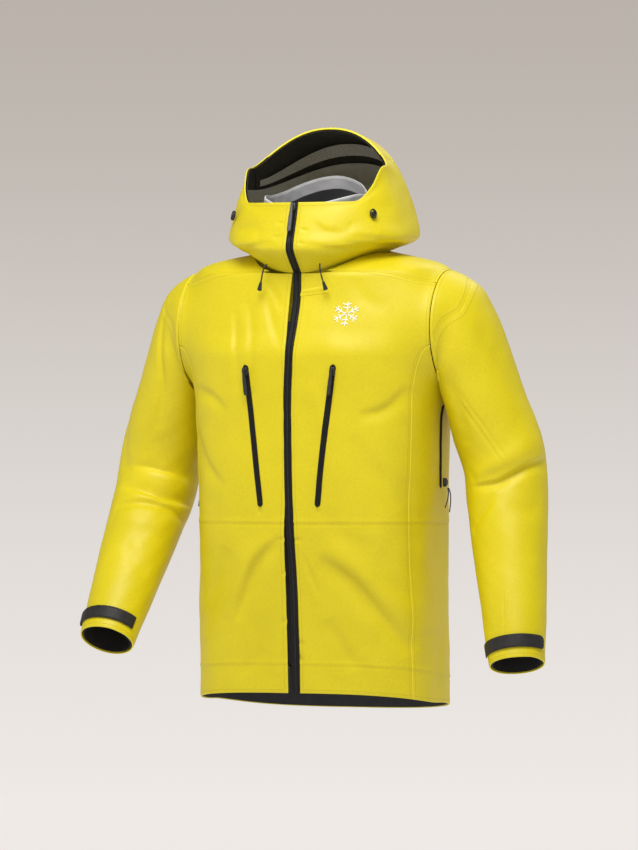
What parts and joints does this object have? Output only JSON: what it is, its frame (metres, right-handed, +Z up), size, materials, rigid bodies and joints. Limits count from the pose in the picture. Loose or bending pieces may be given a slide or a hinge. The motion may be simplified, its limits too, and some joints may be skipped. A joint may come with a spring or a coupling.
{
  "type": "ski jacket",
  "caption": "Hooded waterproof shell jacket with a front zip, chest zips, pit zips, bending sleeves and adjustable cuffs.",
  "frame": {"origin": "centre of the hanger loop's bearing face, inside the back of the neck", "axes": "+Z up, the front faces -Y, the wearer's left arm is on the +X side"},
  "size_m": [0.8139, 0.3717, 0.9944],
  "materials": {
    "shell_cloth": "yellow laminated shell cloth",
    "grey_lining": "grey lining",
    "black_lining": "black brushed facing",
    "collar_lining": "light grey soft facing",
    "zip_tape": "black laminated zip tape",
    "zip_metal": "dark satin metal",
    "pull_rubber": "moulded grey pull",
    "pull_black": "moulded black pull",
    "cord_black": "braided black cord",
    "plastic_black": "matt black moulding",
    "tab_black": "laminated black tab",
    "badge_thread": "pale embroidery"
  },
  "bodies": {
    "torso": {"front_panel_left": "shell_cloth", "front_panel_right": "shell_cloth", "side_panel_left": "shell_cloth", "side_panel_right": "shell_cloth", "back_panel": "shell_cloth", "shoulder_yoke_left": "shell_cloth", "shoulder_yoke_right": "shell_cloth", "hood_side_left": "shell_cloth", "hood_side_right": "shell_cloth", "hood_centre_panel": "shell_cloth", "hood_brim": "shell_cloth", "hood_lining": "grey_lining", "brim_lining": "black_lining", "hem_facing": "black_lining", "collar_inner": "collar_lining", "pocket_bag_left": "grey_lining", "pocket_bag_right": "grey_lining", "front_zip_tape_left": "zip_tape", "front_zip_tape_right": "zip_tape", "front_zip_coil": "zip_tape", "chest_zip_tape_left": "zip_tape", "chest_zip_tape_right": "zip_tape", "pit_zip_tape_left": "zip_tape", "pit_zip_tape_right": "zip_tape", "hood_cord_left": "cord_black", "hood_cord_right": "cord_black", "hood_cord_tip_left": "plastic_black", "hood_cord_tip_right": "plastic_black", "cord_lock_rim_left": "plastic_black", "cord_lock_rim_right": "plastic_black", "hanger_loop": "cord_black", "badge": "badge_thread"},
    "front_slider": {"front_zip_slider": "zip_metal"},
    "front_pull": {"front_zip_pull": "pull_rubber"},
    "chest_slider_left": {"chest_zip_slider_left": "zip_metal"},
    "chest_pull_left": {"chest_zip_pull_left": "pull_black"},
    "pit_slider_left": {"pit_zip_slider_left": "zip_metal", "pit_cord_front_left": "cord_black", "pit_cord_back_left": "cord_black"},
    "lock_button_left": {"cord_lock_button_left": "plastic_black"},
    "sleeve_left": {"upper_sleeve_left": "shell_cloth"},
    "forearm_left": {"forearm_left": "shell_cloth", "cuff_facing_left": "black_lining"},
    "cuff_tab_left": {"cuff_tab_left": "tab_black"},
    "chest_slider_right": {"chest_zip_slider_right": "zip_metal"},
    "chest_pull_right": {"chest_zip_pull_right": "pull_black"},
    "pit_slider_right": {"pit_zip_slider_right": "zip_metal", "pit_cord_front_right": "cord_black", "pit_cord_back_right": "cord_black"},
    "lock_button_right": {"cord_lock_button_right": "plastic_black"},
    "sleeve_right": {"upper_sleeve_right": "shell_cloth"},
    "forearm_right": {"forearm_right": "shell_cloth", "cuff_facing_right": "black_lining"},
    "cuff_tab_right": {"cuff_tab_right": "tab_black"}
  },
  "joints": [
    {"name": "front_zip_slide", "type": "slide", "parent": "torso", "child": "front_slider", "axis": [0, -0.2992, -0.9542], "range_m": [0, 0.05]},
    {"name": "front_pull_swing", "type": "hinge", "parent": "front_slider", "child": "front_pull", "pos_m": [0, -0.19784, 0.05746], "axis": [-1, 0, 0], "range_deg": [0, 150]},
    {"name": "chest_zip_slide_left", "type": "slide", "parent": "torso", "child": "chest_slider_left", "axis": [-0.1209, -0.009, -0.9926], "range_m": [0, 0.215]},
    {"name": "chest_pull_swing_left", "type": "hinge", "parent": "chest_slider_left", "child": "chest_pull_left", "pos_m": [0.07976, -0.21962, -0.22144], "axis": [-0.9908, -0.0599, 0.1213], "range_deg": [0, 150]},
    {"name": "pit_zip_slide_left", "type": "slide", "parent": "torso", "child": "pit_slider_left", "axis": [0, 0, 1], "range_m": [0, 0.04]},
    {"name": "lock_press_left", "type": "slide", "parent": "torso", "child": "lock_button_left", "axis": [-0.7475, 0.621, -0.2358], "range_m": [0, 0.0015], "stiffness_N_per_m": 300},
    {"name": "shoulder_swing_left", "type": "hinge", "parent": "torso", "child": "sleeve_left", "pos_m": [0.219, -0.04947, -0.152], "axis": [-1, 0, 0], "range_deg": [-15, 50]},
    {"name": "elbow_bend_left", "type": "hinge", "parent": "sleeve_left", "child": "forearm_left", "pos_m": [0.318, -0.02147, -0.408], "axis": [-1, 0, 0], "range_deg": [-10, 60]},
    {"name": "cuff_tab_open_left", "type": "hinge", "parent": "forearm_left", "child": "cuff_tab_left", "pos_m": [0.3243, -0.13872, -0.69201], "axis": [0.1803, -0.3305, -0.9264], "range_deg": [0, 100]},
    {"name": "chest_zip_slide_right", "type": "slide", "parent": "torso", "child": "chest_slider_right", "axis": [0.1209, -0.009, -0.9926], "range_m": [0, 0.215]},
    {"name": "chest_pull_swing_right", "type": "hinge", "parent": "chest_slider_right", "child": "chest_pull_right", "pos_m": [-0.07976, -0.21962, -0.22144], "axis": [-0.9908, 0.0599, -0.1213], "range_deg": [0, 150]},
    {"name": "pit_zip_slide_right", "type": "slide", "parent": "torso", "child": "pit_slider_right", "axis": [0, 0, 1], "range_m": [0, 0.04]},
    {"name": "lock_press_right", "type": "slide", "parent": "torso", "child": "lock_button_right", "axis": [0.7475, 0.621, -0.2358], "range_m": [0, 0.0015], "stiffness_N_per_m": 300},
    {"name": "shoulder_swing_right", "type": "hinge", "parent": "torso", "child": "sleeve_right", "pos_m": [-0.219, -0.04947, -0.152], "axis": [-1, 0, 0], "range_deg": [-15, 50]},
    {"name": "elbow_bend_right", "type": "hinge", "parent": "sleeve_right", "child": "forearm_right", "pos_m": [-0.318, -0.02147, -0.408], "axis": [-1, 0, 0], "range_deg": [-10, 45]},
    {"name": "cuff_tab_open_right", "type": "hinge", "parent": "forearm_right", "child": "cuff_tab_right", "pos_m": [-0.28409, -0.20792, -0.64994], "axis": [0.05, 0.5701, 0.8201], "range_deg": [0, 100]}
  ]
}
